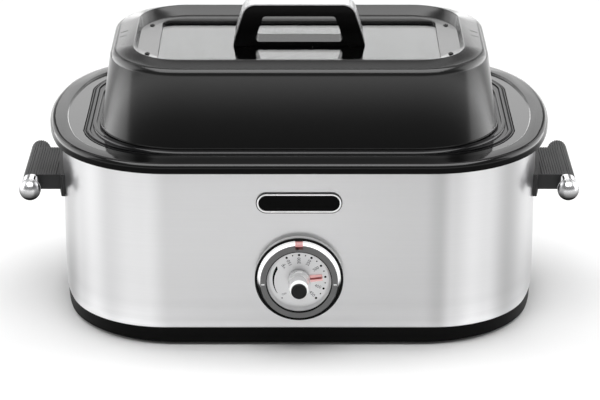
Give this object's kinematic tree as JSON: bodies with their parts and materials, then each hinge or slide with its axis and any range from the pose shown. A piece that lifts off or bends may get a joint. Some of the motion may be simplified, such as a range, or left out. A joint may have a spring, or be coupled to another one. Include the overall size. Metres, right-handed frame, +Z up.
{
  "type": "electric roaster oven",
  "caption": "Countertop electric roaster oven: bowed stainless body on a black base, lift-out pan and rack, lift-off domed lid with a glass window and a turning heat dial.",
  "frame": {"origin": "bottom centre of the whole closed oven, on the plane its feet stand on", "axes": "+X to the right as seen from the front, across the handles; the dial faces -Y; +Z up"},
  "size_m": [0.5928, 0.3808, 0.325],
  "materials": {
    "base_plastic": "satin moulded",
    "plain_steel": "plated",
    "foot_rubber": "matt",
    "satin_steel": "satin, fine upright grain",
    "black_paint": "semi-gloss black",
    "well_metal": "dull",
    "glass_fibre": "woolly",
    "brown_plastic": "matt",
    "copper_tube": "plain",
    "lamp_glass": "clear",
    "red_lens": "clear red",
    "gloss_black": "gloss",
    "bright_chrome": "polished",
    "grey_plastic": "satin",
    "silver_metal": "fine satin",
    "red_paint": "satin",
    "seal_rubber": "matt",
    "clear_glass": "clear",
    "grip_plastic": "fine ribs",
    "pan_enamel": "gloss enamel"
  },
  "bodies": {
    "oven": {"base_ring": "base_plastic", "bottom_plate": "plain_steel", "feet": "foot_rubber", "foot_screws": "plain_steel", "base_screws": "plain_steel", "outer_wrap": "satin_steel", "top_rim": "black_paint", "heating_well": "well_metal", "heating_band": "plain_steel", "band_clamps": "plain_steel", "insulation_blanket": "glass_fibre", "well_posts": "plain_steel", "thermostat_bracket": "plain_steel", "thermostat_body": "brown_plastic", "capillary_tube": "copper_tube", "sensing_bulb": "copper_tube", "bulb_clip": "plain_steel", "pilot_lamp": "lamp_glass", "pilot_lens": "red_lens", "dial_bezel": "gloss_black", "dial_cone": "bright_chrome", "dial_ring": "grey_plastic", "dial_face": "silver_metal", "badge_frame": "bright_chrome", "badge_plate": "gloss_black", "cord_gland": "base_plastic", "terminal_block": "brown_plastic", "left_handle_flange": "grip_plastic", "left_grip": "grip_plastic", "left_ferrule": "bright_chrome", "left_ball": "bright_chrome", "left_grip_rod": "plain_steel", "left_handle_screws": "plain_steel", "right_handle_flange": "grip_plastic", "right_grip": "grip_plastic", "right_ferrule": "bright_chrome", "right_ball": "bright_chrome", "right_grip_rod": "plain_steel", "right_handle_screws": "plain_steel"},
    "pan": {"roasting_pan": "pan_enamel"},
    "rack": {"rack_frame": "bright_chrome", "rack_bars": "bright_chrome", "rack_runners": "bright_chrome"},
    "lid": {"lid_shell": "black_paint", "window_gasket": "seal_rubber", "window_glass": "clear_glass", "glass_retainer": "black_paint", "lid_screws": "plain_steel", "lid_handle": "grip_plastic", "handle_trim": "bright_chrome", "handle_bolts": "plain_steel", "handle_washers": "seal_rubber"},
    "knob": {"thermostat_shaft": "plain_steel", "knob_skirt": "silver_metal", "knob_body": "silver_metal", "knob_collar": "bright_chrome", "knob_cap": "gloss_black", "knob_pointer": "red_paint"}
  },
  "joints": [
    {"name": "pan_lift", "type": "slide", "parent": "oven", "child": "pan", "axis": [0, 0, 1], "range_m": [0, 0.2]},
    {"name": "rack_lift", "type": "slide", "parent": "pan", "child": "rack", "axis": [0, 0, 1], "range_m": [0, 0.12]},
    {"name": "lid_lift", "type": "slide", "parent": "pan", "child": "lid", "axis": [0, 0, 1], "range_m": [0, 0.2]},
    {"name": "knob_turn", "type": "hinge", "parent": "oven", "child": "knob", "pos_m": [0, -0.1496, 0.078], "axis": [0, 1, 0], "range_deg": [-224, 56]}
  ]
}
